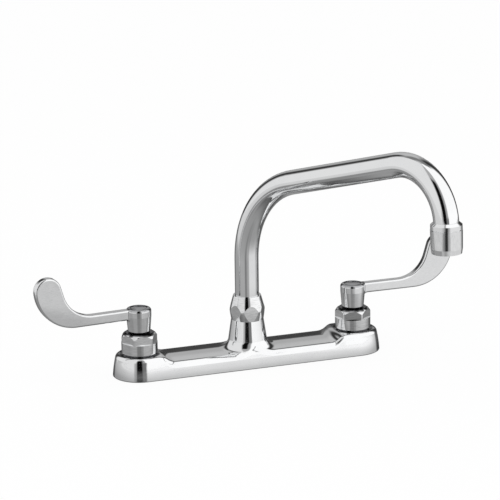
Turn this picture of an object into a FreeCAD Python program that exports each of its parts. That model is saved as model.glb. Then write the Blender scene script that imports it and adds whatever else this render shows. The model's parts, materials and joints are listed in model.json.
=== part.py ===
import FreeCAD, Part
import math
import os
import Sketcher

# Deck-mounted two-handle kitchen faucet: a cast bridge body with two quarter-turn
# ceramic valves, wrist-blade handles and a swinging tubular spout with an aerator.
# Frame: origin at the centre of the underside, +X along the body, -Y towards the
# person who uses it, +Z up. Millimetres and degrees.

SIZES = {
    # cast body
    "valve_spacing": 203.2,
    "body_half_width": 24.3,
    "wall_bow_radius": 120.0,
    "wall_bow_drop": 7.8,
    "foot_round": 0.8,
    "boss_height": 20.0,
    "saddle_height": 15.0,
    "ramp_top_offset": 13.4,
    "ramp_length": 14.0,
    "saddle_shoulder": 6.0,
    "boss_shoulder": 3.4,
    "roof_thickness": 3.0,
    "rim_wall": 4.9,
    "gasket_inset": 1.9,
    "gasket_height": 2.5,
    "gasket_width": 2.4,
    "valve_island_radius": 13.8,
    "riser_island_radius": 13.0,
    "waterway_height": 9.8,
    "waterway_bore": 3.0,
    "waterway_wall": 1.6,
    "waterway_overrun": 0.2,
    # inlet sockets and valve chambers in the cast body
    "inlet_bore": 9.55,
    "inlet_depth": 7.5,
    "seat_wall": 1.8,
    "seat_hole": 5.0,
    "chamber_bore": 10.6,
    "valve_neck_radius": 12.2,
    "valve_neck_height": 10.0,
    # riser cone and the neck under the spout nut
    "cone_foot_radius": 18.4,
    "cone_top_radius": 14.6,
    "cone_top_height": 41.0,
    "cone_flare": 9.0,
    "spout_neck_radius": 12.9,
    "spout_neck_height": 9.0,
    "spout_bore": 9.36,
    "riser_floor": 5.0,
    # valve cartridge, from the seat upwards
    "seal_bore": 5.4,
    "seal_radius": 8.6,
    "seal_thickness": 2.7,
    "disc_radius": 8.05,
    "disc_thickness": 3.0,
    "port_inner_radius": 2.2,
    "port_outer_radius": 6.9,
    "port_angle": 76.0,
    "drive_slot_width": 4.0,
    "drive_slot_depth": 1.4,
    "sleeve_radius": 9.2,
    "gallery_height": 7.0,
    "window_width": 8.0,
    "window_height": 4.4,
    "window_sill": 1.0,
    "bonnet_washer_thickness": 1.0,
    "cartridge_flange_radius": 12.0,
    "cartridge_flange_height": 2.4,
    "guide_radius": 8.2,
    "guide_height": 5.4,
    # stem
    "stem_radius": 5.0,
    "stem_collar_radius": 7.9,
    "stem_collar_height": 1.8,
    "stem_foot_height": 2.5,
    "o_ring_section": 0.7,
    "o_ring_groove_width": 1.8,
    "lower_ring_drop": 11.0,
    "upper_ring_drop": 3.6,
    "clip_thickness": 1.0,
    "clip_radius": 6.6,
    "clip_groove_radius": 4.2,
    "clip_gap": 5.0,
    "spline_radius": 4.7,
    "spline_root": 4.05,
    "spline_sink": 0.2,
    "spline_count": 16,
    "tooth_width": 1.3,
    "tooth_clearance": 0.1,
    "spline_length": 10.0,
    "foot_end_gap": 0.6,
    # bonnet nut
    "bonnet_collar_radius": 16.1,
    "bonnet_foot_radius": 14.4,
    "bonnet_foot_height": 1.8,
    "bonnet_collar_height": 11.2,
    "bonnet_height": 20.1,
    "bonnet_across_flats": 28.6,
    "bonnet_crown_height": 3.8,
    "bonnet_crown_shoulder": 14.6,
    "bonnet_crown_step": 1.6,
    "bonnet_crown_radius": 12.2,
    "bonnet_mouth": 8.5,
    "left_bonnet_twist": 57.0,
    "right_bonnet_twist": 40.0,
    # wrist-blade handle
    "left_handle_set": 4.5,
    "hub_gap": 2.2,
    "hub_height": 20.9,
    "hub_base_radius": 10.0,
    "hub_top_radius": 11.2,
    "hub_taper_height": 14.0,
    "hub_edge": 2.2,
    "hub_foot_edge": 0.8,
    "hub_recess_radius": 8.0,
    "hub_recess_depth": 2.7,
    "hub_web": 2.4,
    "blade_thickness": 7.6,
    "blade_edge": 1.7,
    "arm_base_rise": 11.5,
    "arm_height": 9.4,
    "gusset_radius": 4.0,
    "gusset_sink": 0.4,
    "arm_root_fillet": 2.0,
    "paddle_reach": 84.9,
    "paddle_rise": 47.2,
    "paddle_tip_radius": 12.1,
    "paddle_outer_radius": 37.7,
    "paddle_inner_radius": 27.4,
    "paddle_lean": 73.4,
    "screw_shank_radius": 2.0,
    "screw_head_radius": 4.0,
    "screw_head_height": 2.6,
    "screw_reach": 7.0,
    "screw_recess_width": 2.5,
    "screw_recess_depth": 1.5,
    "cap_radius": 7.6,
    "cap_crown": 0.5,
    "cap_edge": 0.8,
    "cap_plate": 1.6,
    "cap_skirt": 1.0,
    "cap_skirt_gap": 0.3,
    # spout nut and the pieces that it clamps
    "nut_waist_radius": 16.0,
    "nut_waist_height": 8.7,
    "nut_base_radius": 14.55,
    "nut_top_radius": 12.5,
    "nut_height": 21.8,
    "nut_across_flats": 29.0,
    "nut_ceiling": 14.4,
    "nut_mouth_clearance": 0.15,
    "nut_twist": 55.0,
    "spout_washer_thickness": 0.8,
    "spout_flange_radius": 12.6,
    "spout_flange_height": 3.0,
    "bearing_ring_thickness": 1.55,
    # spout
    "spout_turn": 66.8,
    "tube_radius": 10.75,
    "tube_wall": 1.25,
    "riser_top": 96.7,
    "first_bend_radius": 83.5,
    "first_bend_angle": 73.6,
    "run_length": 131.1,
    "second_bend_radius": 44.2,
    "second_bend_angle": 104.4,
    "outlet_drop": 4.7,
    "spigot_bore": 7.2,
    "spigot_foot": 19.0,
    "spigot_pilot": 6.2,
    "spout_ring_section": 0.72,
    "spout_ring_groove_width": 1.9,
    "lower_spout_ring": 26.0,
    "upper_spout_ring": 33.0,
    # outlet collar and aerator, measured from the end of the tube along the flow
    "collar_grip": 7.4,
    "collar_shoulder": 2.2,
    "collar_radius": 13.4,
    "collar_skirt": 1.5,
    "outlet_bore": 9.6,
    "outlet_thread_radius": 11.9,
    "outlet_thread_length": 6.0,
    "housing_gap": 0.5,
    "housing_radius": 13.6,
    "housing_low_radius": 13.35,
    "housing_mouth_radius": 12.7,
    "housing_length": 19.9,
    "housing_bevel": 4.4,
    "housing_bore": 11.2,
    "housing_lip_radius": 9.8,
    "housing_lip": 1.5,
    "aerator_washer_bore": 8.6,
    "aerator_washer_thickness": 1.5,
    "screen_thickness": 1.2,
    "insert_plate": 1.6,
    "insert_wall": 1.0,
    "insert_hole_radius": 1.0,
    "insert_hole_circle": 7.4,
    "insert_hole_count": 12,
    "screen_slot_width": 1.5,
    "screen_slot_pitch": 2.6,
    "screen_rim": 2.4,
    # gaps between pieces
    "running_clearance": 0.05,
    "thread_clearance": 0.05,
    "ring_clearance": 0.02,
    # how far a cutter runs past the face that it opens
    "overrun": 1.0,
}
MATCH = 0.01
HALF_TURN = 180


class Length:
    """A number that also knows the spreadsheet formula that it comes from."""

    def __init__(self, value, formula):
        self.value = float(value)
        self.formula = formula

    def __float__(self):
        return self.value

    def combine(self, other, sign, result):
        return Length(result, f"({self.formula} {sign} {formula_of(other)})")

    def __add__(self, other):
        return self.combine(other, "+", self.value + float(other))

    def __radd__(self, other):
        return self + other

    def __sub__(self, other):
        return self.combine(other, "-", self.value - float(other))

    def __rsub__(self, other):
        return Length(float(other) - self.value, f"({formula_of(other)} - {self.formula})")

    def __mul__(self, other):
        return self.combine(other, "*", self.value * float(other))

    def __rmul__(self, other):
        return self * other

    def __truediv__(self, other):
        return self.combine(other, "/", self.value / float(other))

    def __neg__(self):
        return self * -1


def formula_of(amount):
    return amount.formula if isinstance(amount, Length) else repr(amount)


class SizeTable:
    """The driving dimensions, each one an aliased cell of the spreadsheet."""

    def __init__(self, document, numbers):
        self.sheet = document.addObject("Spreadsheet::Sheet", "Sizes")
        for row, (name, number) in enumerate(numbers.items(), start=1):
            self.sheet.set(f"A{row}", name)
            self.sheet.set(f"B{row}", str(number))
            self.sheet.setAlias(f"B{row}", name)
            setattr(self, name, Length(number, f"Sizes.{name}"))


doc = FreeCAD.newDocument("Faucet")
size = SizeTable(doc, SIZES)
doc.recompute()
pieces = []


# Helpers for sketches and features

def bind(thing, path, amount):
    """Tie one property of an object to the spreadsheet."""
    thing.setExpression(path, formula_of(amount))


def new_body(label, keep=True):
    body = doc.addObject("PartDesign::Body", label)
    body.Label = label
    if keep:
        pieces.append(body)
    return body


def keep_piece(thing, label):
    thing.Label = label
    pieces.append(thing)
    return thing


def new_sketch(body, plane, offset=None):
    """Sketch on one of the body's own origin planes."""
    sketch = body.newObject("Sketcher::SketchObject", f"{body.Label}_sketch")
    support = [item for item in body.Origin.OriginFeatures if item.Role == plane][0]
    sketch.AttachmentSupport = [(support, "")]
    sketch.MapMode = "FlatFace"
    if offset is not None:
        bind(sketch, "AttachmentOffset.Base.z", offset)
    return sketch


def drive(sketch, kind, arguments, amount):
    """Add a dimension to a sketch and tie it to the spreadsheet."""
    index = sketch.addConstraint(Sketcher.Constraint(kind, *arguments, float(amount)))
    bind(sketch, f"Constraints[{index}]", amount)


def drive_angle(sketch, arguments, degrees):
    radians = math.radians(float(degrees))
    index = sketch.addConstraint(Sketcher.Constraint("Angle", *arguments, radians))
    bind(sketch, f"Constraints[{index}]", degrees)


def pin_point(sketch, element, end, across, up):
    """Fix one point of a sketch at bound distances from the sketch's origin."""
    for kind, axis, amount in (("DistanceX", -2, across), ("DistanceY", -1, up)):
        if float(amount) == 0:
            sketch.addConstraint(Sketcher.Constraint("PointOnObject", element, end, axis))
        else:
            drive(sketch, kind, (-1, 1, element, end), amount)


def draw_outline(sketch, corners):
    """Closed outline of straight lines through corners given as (across, up)."""
    first = sketch.GeometryCount
    spots = [FreeCAD.Vector(float(across), float(up), 0) for across, up in corners]
    count = len(spots)
    for index, spot in enumerate(spots):
        sketch.addGeometry(Part.LineSegment(spot, spots[(index + 1) % count]), False)
    for index in range(count):
        follower = first + (index + 1) % count
        sketch.addConstraint(
            Sketcher.Constraint("Coincident", first + index, 2, follower, 1))
    for index, (across, up) in enumerate(corners):
        pin_point(sketch, first + index, 1, across, up)


def draw_rectangle(sketch, left, low, right, high):
    draw_outline(sketch, [(left, low), (right, low), (right, high), (left, high)])


def draw_circle(sketch, radius, across=0, up=0):
    centre = FreeCAD.Vector(float(across), float(up), 0)
    circle = Part.Circle(centre, FreeCAD.Vector(0, 0, 1), float(radius))
    element = sketch.addGeometry(circle, False)
    drive(sketch, "Radius", (element,), radius)
    pin_point(sketch, element, 3, across, up)


def draw_stadium(sketch, half_length, radius):
    """Outline of a long plate with round ends, centred on the sketch's origin."""
    reach, width = float(half_length), float(radius)
    up = FreeCAD.Vector(0, 0, 1)
    quarter = math.pi / 2
    front = sketch.addGeometry(Part.LineSegment(
        FreeCAD.Vector(-reach, -width, 0), FreeCAD.Vector(reach, -width, 0)), False)
    right = sketch.addGeometry(Part.ArcOfCircle(
        Part.Circle(FreeCAD.Vector(reach, 0, 0), up, width), -quarter, quarter), False)
    back = sketch.addGeometry(Part.LineSegment(
        FreeCAD.Vector(reach, width, 0), FreeCAD.Vector(-reach, width, 0)), False)
    left = sketch.addGeometry(Part.ArcOfCircle(
        Part.Circle(FreeCAD.Vector(-reach, 0, 0), up, width), quarter, 3 * quarter), False)
    for one, other in ((front, right), (right, back), (back, left), (left, front)):
        sketch.addConstraint(Sketcher.Constraint("Tangent", one, 2, other, 1))
    drive(sketch, "Radius", (right,), radius)
    pin_point(sketch, right, 3, half_length, 0)
    pin_point(sketch, left, 3, -half_length, 0)
    sketch.addConstraint(Sketcher.Constraint("Horizontal", front))


def add_feature(body, kind, sketch, name):
    feature = body.newObject(f"PartDesign::{kind}", f"{body.Label}_{name}")
    feature.Profile = sketch
    sketch.Visibility = False
    return feature


def turn(body, outline, kind="Revolution"):
    """Turn an outline given as (radius, height) about the body's Z axis."""
    sketch = new_sketch(body, "XZ_Plane")
    draw_outline(sketch, outline)
    feature = add_feature(body, kind, sketch, "turning")
    feature.ReferenceAxis = (sketch, ["V_Axis"])
    feature.Angle = 360
    return feature


def turn_away(body, outline):
    return turn(body, outline, "Groove")


def pad(body, sketch, length, midplane=False):
    feature = add_feature(body, "Pad", sketch, "pad")
    bind(feature, "Length", length)
    feature.Midplane = midplane
    return feature


def pocket(body, sketch, length=None, midplane=False, towards_up=False):
    """Cut a sketch down into the body, or through it all where no length is given."""
    feature = add_feature(body, "Pocket", sketch, "pocket")
    feature.Midplane = midplane
    feature.Reversed = towards_up
    if length is None:
        feature.Type = "ThroughAll"
    else:
        bind(feature, "Length", length)
    return feature


def repeat_around(body, feature, count):
    """Repeat a feature around the body's Z axis."""
    pattern = body.newObject("PartDesign::PolarPattern", f"{body.Label}_pattern")
    pattern.Originals = [feature]
    pattern.Axis = (feature.Profile[0], ["N_Axis"])
    pattern.Angle = 360
    bind(pattern, "Occurrences", count)
    body.Tip = pattern
    return pattern


def round_edges(body, radius, wanted):
    """Fillet the edges of the body's last feature that the wanted test picks."""
    doc.recompute()
    base = body.Tip
    names = [f"Edge{number}" for number, edge in enumerate(base.Shape.Edges, start=1)
             if wanted(edge)]
    feature = body.newObject("PartDesign::Fillet", f"{body.Label}_fillet")
    feature.Base = (base, names)
    bind(feature, "Radius", radius)
    return feature


def edge_samples(edge):
    reach = edge.LastParameter - edge.FirstParameter
    return [edge.valueAt(edge.FirstParameter + share * reach)
            for share in (0, 0.25, 0.5, 0.75, 1)]


def is_ring(edge, radius, height):
    """True for a circle of this radius at this height, centred on the Z axis."""
    curve = edge.Curve
    if not isinstance(curve, Part.Circle):
        return False
    return (abs(curve.Radius - float(radius)) < MATCH
            and abs(curve.Center.z - float(height)) < MATCH
            and math.hypot(curve.Center.x, curve.Center.y) < MATCH)


def combine(kind, base, tool, name):
    feature = doc.addObject(f"Part::{kind}", name)
    feature.Base = base
    feature.Tool = tool
    return feature


# Levels that several pieces share, from the deck upwards

half_spacing = size.valve_spacing / 2
chamber_floor = size.inlet_depth + size.seat_wall
valve_neck_top = size.boss_height + size.valve_neck_height
fixed_disc_base = chamber_floor + size.seal_thickness
moving_disc_base = fixed_disc_base + size.disc_thickness
stem_base = moving_disc_base + size.disc_thickness
gallery_top = stem_base + size.gallery_height
flange_base = valve_neck_top + size.bonnet_washer_thickness
flange_top = flange_base + size.cartridge_flange_height
guide_top = flange_top + size.guide_height
bonnet_top = size.boss_height + size.bonnet_height
hub_base = guide_top + size.hub_gap
hub_top = hub_base + size.hub_height
socket_base = hub_base + size.hub_recess_depth
stem_top = socket_base + size.spline_length
screw_seat = stem_top + size.hub_web
spout_neck_top = size.cone_top_height + size.spout_neck_height
spout_flange_base = spout_neck_top + size.spout_washer_thickness
tube_base = spout_flange_base + size.spout_flange_height
tube_bore = size.tube_radius - size.tube_wall


# Cast body: blank with bowed walls, saddle between the bosses and the riser cone

def wall_centre():
    """Centre of the arc that the wall follows, as (distance from the middle, height)."""
    bow, drop = float(size.wall_bow_radius), float(size.wall_bow_drop)
    return float(size.body_half_width) - math.sqrt(bow ** 2 - drop ** 2), -drop


def draw_wall(sketch, hand, height):
    """Arc of one bowed wall, from the deck up to a height, on the given hand (1 or -1)."""
    across, level = wall_centre()
    bow = float(size.wall_bow_radius)
    low = math.asin(-level / bow)
    high = math.asin((float(height) - level) / bow)
    if hand < 0:
        low, high = math.pi - high, math.pi - low
    circle = Part.Circle(FreeCAD.Vector(hand * across, level, 0), FreeCAD.Vector(0, 0, 1), bow)
    wall = sketch.addGeometry(Part.ArcOfCircle(circle, low, high), False)
    foot, head = (1, 2) if hand > 0 else (2, 1)
    drive(sketch, "Radius", (wall,), size.wall_bow_radius)
    drive(sketch, "DistanceY", (wall, 3, -1, 1), size.wall_bow_drop)
    pin_point(sketch, wall, foot, size.body_half_width * hand, 0)
    drive(sketch, "DistanceY", (-1, 1, wall, head), height)
    place = FreeCAD.Vector(hand * (across + bow * math.cos(math.asin(
        (float(height) - level) / bow))), float(height), 0)
    return wall, foot, head, place


def close_outline(sketch, chain):
    """Join the ends of neighbouring elements given as (element, first end, last end)."""
    for index, (element, first, last) in enumerate(chain):
        follower, start, end = chain[(index + 1) % len(chain)]
        sketch.addConstraint(Sketcher.Constraint("Coincident", element, last, follower, start))


def draw_segment(sketch, start, end):
    return sketch.addGeometry(Part.LineSegment(start, end), False)


def make_body_middle():
    """Bar between the two valve axes, lowered between the bosses."""
    blank = new_body("body_middle", keep=False)
    section = new_sketch(blank, "YZ_Plane")
    right, right_foot, right_head, right_place = draw_wall(section, 1, size.boss_height)
    left, left_foot, left_head, left_place = draw_wall(section, -1, size.boss_height)
    half_width = float(size.body_half_width)
    top = draw_segment(section, right_place, left_place)
    base = draw_segment(section, FreeCAD.Vector(-half_width, 0, 0),
                        FreeCAD.Vector(half_width, 0, 0))
    close_outline(section, [(right, right_foot, right_head), (top, 1, 2),
                            (left, left_head, left_foot), (base, 1, 2)])
    pad(blank, section, size.valve_spacing, midplane=True)

    ramp_top = half_spacing - size.ramp_top_offset
    ramp_foot = ramp_top - size.ramp_length
    drop = float(size.boss_height - size.saddle_height)
    length = float(size.ramp_length)
    bend = (length ** 2 + drop ** 2) / (4 * drop)
    high, low = float(size.boss_height), float(size.saddle_height)
    lean = math.atan2(length / 2, bend - drop / 2)
    side = new_sketch(blank, "XZ_Plane")
    up = FreeCAD.Vector(0, 0, 1)
    top, foot = float(ramp_top), float(ramp_foot)
    down = -math.pi / 2

    def arc(centre, height, start, end):
        circle = Part.Circle(FreeCAD.Vector(centre, height, 0), up, bend)
        return side.addGeometry(Part.ArcOfCircle(circle, start, end), False)

    def line(x1, y1, x2, y2):
        return side.addGeometry(Part.LineSegment(
            FreeCAD.Vector(x1, y1, 0), FreeCAD.Vector(x2, y2, 0)), False)

    floor = line(-foot, low, foot, low)
    right_foot = arc(foot, low + bend, down, down + lean)
    right_top = arc(top, high - bend, -down, -down + lean)
    ceiling = line(top, high, -top, high)
    left_top = arc(-top, high - bend, -down - lean, -down)
    left_foot = arc(-foot, low + bend, down - lean, down)
    tangents = ((floor, 2, right_foot, 1), (right_foot, 2, right_top, 2),
                (left_top, 1, left_foot, 1), (left_foot, 2, floor, 1))
    for joint in tangents:
        side.addConstraint(Sketcher.Constraint("Tangent", *joint))
    side.addConstraint(Sketcher.Constraint("Coincident", right_top, 1, ceiling, 1))
    side.addConstraint(Sketcher.Constraint("Coincident", ceiling, 2, left_top, 2))
    side.addConstraint(Sketcher.Constraint("Equal", right_foot, right_top))
    side.addConstraint(Sketcher.Constraint("Equal", left_foot, left_top))
    side.addConstraint(Sketcher.Constraint("Vertical", right_top, 1, right_top, 3))
    side.addConstraint(Sketcher.Constraint("Vertical", left_top, 2, left_top, 3))
    pin_point(side, right_top, 1, ramp_top, size.boss_height)
    pin_point(side, left_top, 2, -ramp_top, size.boss_height)
    pin_point(side, floor, 1, -ramp_foot, size.saddle_height)
    pin_point(side, floor, 2, ramp_foot, size.saddle_height)
    pocket(blank, side, midplane=True)
    return blank


def make_body_end(side):
    """Half-round end of the bar, around one valve axis."""
    end = new_body(f"{side}_body_end", keep=False)
    section = new_sketch(end, "XZ_Plane")
    wall, foot, head, place = draw_wall(section, 1, size.boss_height)
    up = FreeCAD.Vector(0, float(size.boss_height), 0)
    top = draw_segment(section, place, up)
    axis = draw_segment(section, up, FreeCAD.Vector(0, 0, 0))
    base = draw_segment(section, FreeCAD.Vector(0, 0, 0),
                        FreeCAD.Vector(float(size.body_half_width), 0, 0))
    close_outline(section, [(wall, foot, head), (top, 1, 2), (axis, 1, 2), (base, 1, 2)])
    pin_point(section, base, 1, 0, 0)
    section.addConstraint(Sketcher.Constraint("Vertical", axis))
    section.addConstraint(Sketcher.Constraint("Horizontal", top))
    half_turn = add_feature(end, "Revolution", section, "half_turn")
    half_turn.ReferenceAxis = (section, ["V_Axis"])
    half_turn.Angle = HALF_TURN
    half_turn.Midplane = True
    stand_on_valve(end, side)
    return end


def make_riser():
    """Cone that carries the spout, on a flared foot, with the neck for the spout nut."""
    riser = new_body("riser_blank", keep=False)
    flare_rim = size.cone_foot_radius + size.cone_flare + size.overrun
    turn(riser, [
        (0, size.riser_floor),
        (flare_rim, size.riser_floor),
        (flare_rim, size.saddle_height),
        (size.cone_foot_radius, size.saddle_height),
        (size.cone_top_radius, size.cone_top_height),
        (size.spout_neck_radius, size.cone_top_height),
        (size.spout_neck_radius, spout_neck_top),
        (0, spout_neck_top),
    ])
    round_edges(riser, size.cone_flare, lambda edge: is_ring(
        edge, size.cone_foot_radius, size.saddle_height))
    outside = new_sketch(riser, "YZ_Plane")
    trim_top = size.saddle_height + size.cone_flare + size.overrun
    reach = flare_rim + size.overrun
    for hand in (1, -1):
        wall, foot, head, place = draw_wall(outside, hand, trim_top)
        out = FreeCAD.Vector(hand * float(reach), float(trim_top), 0)
        down = FreeCAD.Vector(out.x, 0, 0)
        start = FreeCAD.Vector(hand * float(size.body_half_width), 0, 0)
        lid = draw_segment(outside, place, out)
        side = draw_segment(outside, out, down)
        floor = draw_segment(outside, down, start)
        close_outline(outside, [(wall, foot, head), (lid, 1, 2), (side, 1, 2), (floor, 1, 2)])
        pin_point(outside, side, 1, reach * hand, trim_top)
        pin_point(outside, side, 2, reach * hand, 0)
    pocket(riser, outside, midplane=True)
    return riser


def make_shouldered_blank():
    """Fuse the riser on the bar and round the whole upper edge in one sweep."""
    fused = combine("Fuse", make_body_middle(), make_riser(), "bar_and_riser")
    for side in ("left", "right"):
        fused = combine("Fuse", fused, make_body_end(side), f"bar_with_{side}_end")
        fused.Refine = True
    doc.recompute()
    saddle = float(size.saddle_height)
    boss = float(size.boss_height)
    small, large = float(size.boss_shoulder), float(size.saddle_shoulder)
    rounded = []
    for number, edge in enumerate(fused.Shape.Edges, start=1):
        samples = edge_samples(edge)
        if any(wall_distance(spot) > 2 * MATCH for spot in samples):
            continue
        if max(spot.z for spot in samples) < MATCH:
            rounded.append((number, float(size.foot_round), float(size.foot_round)))
        elif min(spot.z for spot in samples) > saddle - MATCH:
            ends = [boss_share(spot, saddle, boss) for spot in (samples[0], samples[-1])]
            radii = [large + (small - large) * share for share in ends]
            rounded.append((number, radii[0], radii[1]))
    shoulder = doc.addObject("Part::Fillet", "shoulder")
    shoulder.Base = fused
    shoulder.Edges = rounded
    return shoulder


def wall_distance(spot):
    """How far a point lies from the bowed outer wall."""
    across, level = wall_centre()
    beyond = max(abs(spot.x) - float(half_spacing), 0)
    radius = math.hypot(beyond, spot.y)
    return abs(math.hypot(radius - across, spot.z - level) - float(size.wall_bow_radius))


def boss_share(spot, saddle, boss):
    """0 along the saddle and the riser's front, 1 around a boss."""
    if abs(spot.x) < float(half_spacing - size.ramp_top_offset - size.overrun):
        return 0
    return min(max((spot.z - saddle) / (boss - saddle), 0), 1)


def make_hollow():
    """Space under the roof, around the valve islands, the riser and the waterway."""
    hollow = new_body("underside_hollow", keep=False)
    roof = size.saddle_height - size.roof_thickness
    inner = new_sketch(hollow, "XY_Plane")
    draw_stadium(inner, half_spacing, size.body_half_width - size.rim_wall)
    pad(hollow, inner, roof)
    ledge = new_sketch(hollow, "XY_Plane")
    draw_stadium(ledge, half_spacing, size.body_half_width - size.gasket_inset)
    pad(hollow, ledge, size.gasket_height)
    islands = new_sketch(hollow, "XY_Plane")
    draw_circle(islands, size.valve_island_radius, half_spacing)
    draw_circle(islands, size.valve_island_radius, -half_spacing)
    draw_circle(islands, size.riser_island_radius)
    pocket(hollow, islands, towards_up=True)
    tube = new_sketch(hollow, "YZ_Plane")
    draw_circle(tube, size.waterway_bore + size.waterway_wall, 0, size.waterway_height)
    pocket(hollow, tube, midplane=True)
    return hollow


def make_bores():
    """Spout socket in the riser and the waterway that joins it to both valves."""
    bores = new_body("riser_bores", keep=False)
    turn(bores, [
        (0, size.riser_floor),
        (size.spout_bore, size.riser_floor),
        (size.spout_bore, spout_neck_top + size.overrun),
        (0, spout_neck_top + size.overrun),
    ])
    tube = new_sketch(bores, "YZ_Plane")
    draw_circle(tube, size.waterway_bore, 0, size.waterway_height)
    reach = half_spacing - size.chamber_bore + size.waterway_overrun
    pad(bores, tube, reach * 2, midplane=True)
    return bores


def make_valve_bore(side):
    """Inlet socket, seat hole and valve chamber on one valve axis."""
    bore = new_body(f"{side}_valve_bore", keep=False)
    turn(bore, [
        (0, 0),
        (size.inlet_bore, 0),
        (size.inlet_bore, size.inlet_depth),
        (size.seat_hole, size.inlet_depth),
        (size.seat_hole, chamber_floor),
        (size.chamber_bore, chamber_floor),
        (size.chamber_bore, valve_neck_top + size.overrun),
        (0, valve_neck_top + size.overrun),
    ])
    stand_on_valve(bore, side)
    return bore


def stand_on_valve(thing, side, turns=False):
    """Put a piece on the valve axis; what turns follows the left handle's small set."""
    place = half_spacing if side == "right" else -half_spacing
    bind(thing, "Placement.Base.x", place)
    if side == "left":
        bind(thing, "Placement.Rotation.Angle",
             HALF_TURN + (size.left_handle_set if turns else 0))


def make_valve_neck(side):
    """Threaded neck that the bonnet nut screws onto."""
    neck = doc.addObject("Part::Cylinder", f"{side}_valve_neck")
    bind(neck, "Radius", size.valve_neck_radius)
    bind(neck, "Height", valve_neck_top - chamber_floor)
    bind(neck, "Placement.Base.x", half_spacing if side == "right" else -half_spacing)
    bind(neck, "Placement.Base.z", chamber_floor)
    return neck


def make_deck_body():
    shape = make_shouldered_blank()
    for side in ("left", "right"):
        shape = combine("Fuse", shape, make_valve_neck(side), f"body_with_{side}_neck")
    shape = combine("Cut", shape, make_hollow(), "hollowed_body")
    shape = combine("Cut", shape, make_bores(), "bored_body")
    for side in ("left", "right"):
        shape = combine("Cut", shape, make_valve_bore(side), f"body_with_{side}_bore")
    keep_piece(shape, "deck_body")


def make_deck_gasket():
    gasket = new_body("deck_gasket")
    outer = size.body_half_width - size.gasket_inset - size.running_clearance
    plan = new_sketch(gasket, "XY_Plane")
    draw_stadium(plan, half_spacing, outer)
    draw_stadium(plan, half_spacing, outer - size.gasket_width)
    pad(gasket, plan, size.gasket_height)


# Valve pieces: each valve is the same set of pieces on its own axis

def make_seat_seal(side):
    seal = new_body(f"{side}_seat_seal")
    turn(seal, [
        (size.seal_bore, chamber_floor),
        (size.seal_radius, chamber_floor),
        (size.seal_radius, fixed_disc_base),
        (size.seal_bore, fixed_disc_base),
    ])
    stand_on_valve(seal, side)


def draw_port(sketch, middle):
    """Sector-shaped water port of a ceramic disc, centred on an angle in degrees."""
    half = float(size.port_angle) / 2
    inner, outer = float(size.port_inner_radius), float(size.port_outer_radius)
    low, high = math.radians(middle - half), math.radians(middle + half)
    centre, up = FreeCAD.Vector(0, 0, 0), FreeCAD.Vector(0, 0, 1)

    def spot(radius, angle):
        return FreeCAD.Vector(radius * math.cos(angle), radius * math.sin(angle), 0)

    rim = sketch.addGeometry(
        Part.ArcOfCircle(Part.Circle(centre, up, outer), low, high), False)
    side_high = sketch.addGeometry(
        Part.LineSegment(spot(outer, high), spot(inner, high)), False)
    root = sketch.addGeometry(
        Part.ArcOfCircle(Part.Circle(centre, up, inner), low, high), False)
    side_low = sketch.addGeometry(
        Part.LineSegment(spot(inner, low), spot(outer, low)), False)
    for one, end, other, start in ((rim, 2, side_high, 1), (side_high, 2, root, 2),
                                   (root, 1, side_low, 1), (side_low, 2, rim, 1)):
        sketch.addConstraint(Sketcher.Constraint("Coincident", one, end, other, start))
    for arc, radius in ((rim, size.port_outer_radius), (root, size.port_inner_radius)):
        sketch.addConstraint(Sketcher.Constraint("Coincident", arc, 3, -1, 1))
        drive(sketch, "Radius", (arc,), radius)
    for line in (side_high, side_low):
        sketch.addConstraint(Sketcher.Constraint("PointOnObject", -1, 1, line))
    drive_angle(sketch, (side_low, 1, side_high, 2), size.port_angle)
    drive_angle(sketch, (-1, 1, side_low, 1), middle - size.port_angle / 2)


def make_disc(label, side, base, first_port):
    """Ceramic disc with two opposite ports."""
    disc = new_body(label)
    round_plan = new_sketch(disc, "XY_Plane", base)
    draw_circle(round_plan, size.disc_radius)
    pad(disc, round_plan, size.disc_thickness)
    port = new_sketch(disc, "XY_Plane", base)
    draw_port(port, first_port)
    opening = pocket(disc, port, towards_up=True)
    repeat_around(disc, opening, 2)
    stand_on_valve(disc, side)
    return disc


def make_moving_disc(side):
    """The upper disc, with the slot that the stem's foot drives."""
    disc = make_disc(f"{side}_moving_disc", side, moving_disc_base, 90)
    slot = new_sketch(disc, "XY_Plane", stem_base)
    half_width = size.drive_slot_width / 2 + size.running_clearance
    draw_rectangle(slot, -size.disc_radius, -half_width, size.disc_radius, half_width)
    pocket(disc, slot, size.drive_slot_depth)
    stand_on_valve(disc, side, turns=True)


def make_cartridge_body(side):
    """Brass sleeve that holds the discs, with side windows and the stem guide."""
    cartridge = new_body(f"{side}_cartridge_body")
    disc_room = size.disc_radius + size.running_clearance
    stem_room = size.stem_radius + size.running_clearance
    turn(cartridge, [
        (disc_room, fixed_disc_base),
        (size.sleeve_radius, fixed_disc_base),
        (size.sleeve_radius, flange_base),
        (size.cartridge_flange_radius, flange_base),
        (size.cartridge_flange_radius, flange_top),
        (size.guide_radius, flange_top),
        (size.guide_radius, guide_top),
        (stem_room, guide_top),
        (stem_room, gallery_top),
        (disc_room, gallery_top),
    ])
    window = new_sketch(cartridge, "XZ_Plane")
    sill = stem_base + size.window_sill
    half_width = size.window_width / 2
    draw_rectangle(window, -half_width, sill, half_width, sill + size.window_height)
    pocket(cartridge, window, midplane=True)
    stand_on_valve(cartridge, side)


def make_bonnet_washer(side):
    washer = new_body(f"{side}_bonnet_washer")
    turn(washer, [
        (size.chamber_bore, valve_neck_top),
        (size.cartridge_flange_radius, valve_neck_top),
        (size.cartridge_flange_radius, flange_base),
        (size.chamber_bore, flange_base),
    ])
    stand_on_valve(washer, side)


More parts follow.
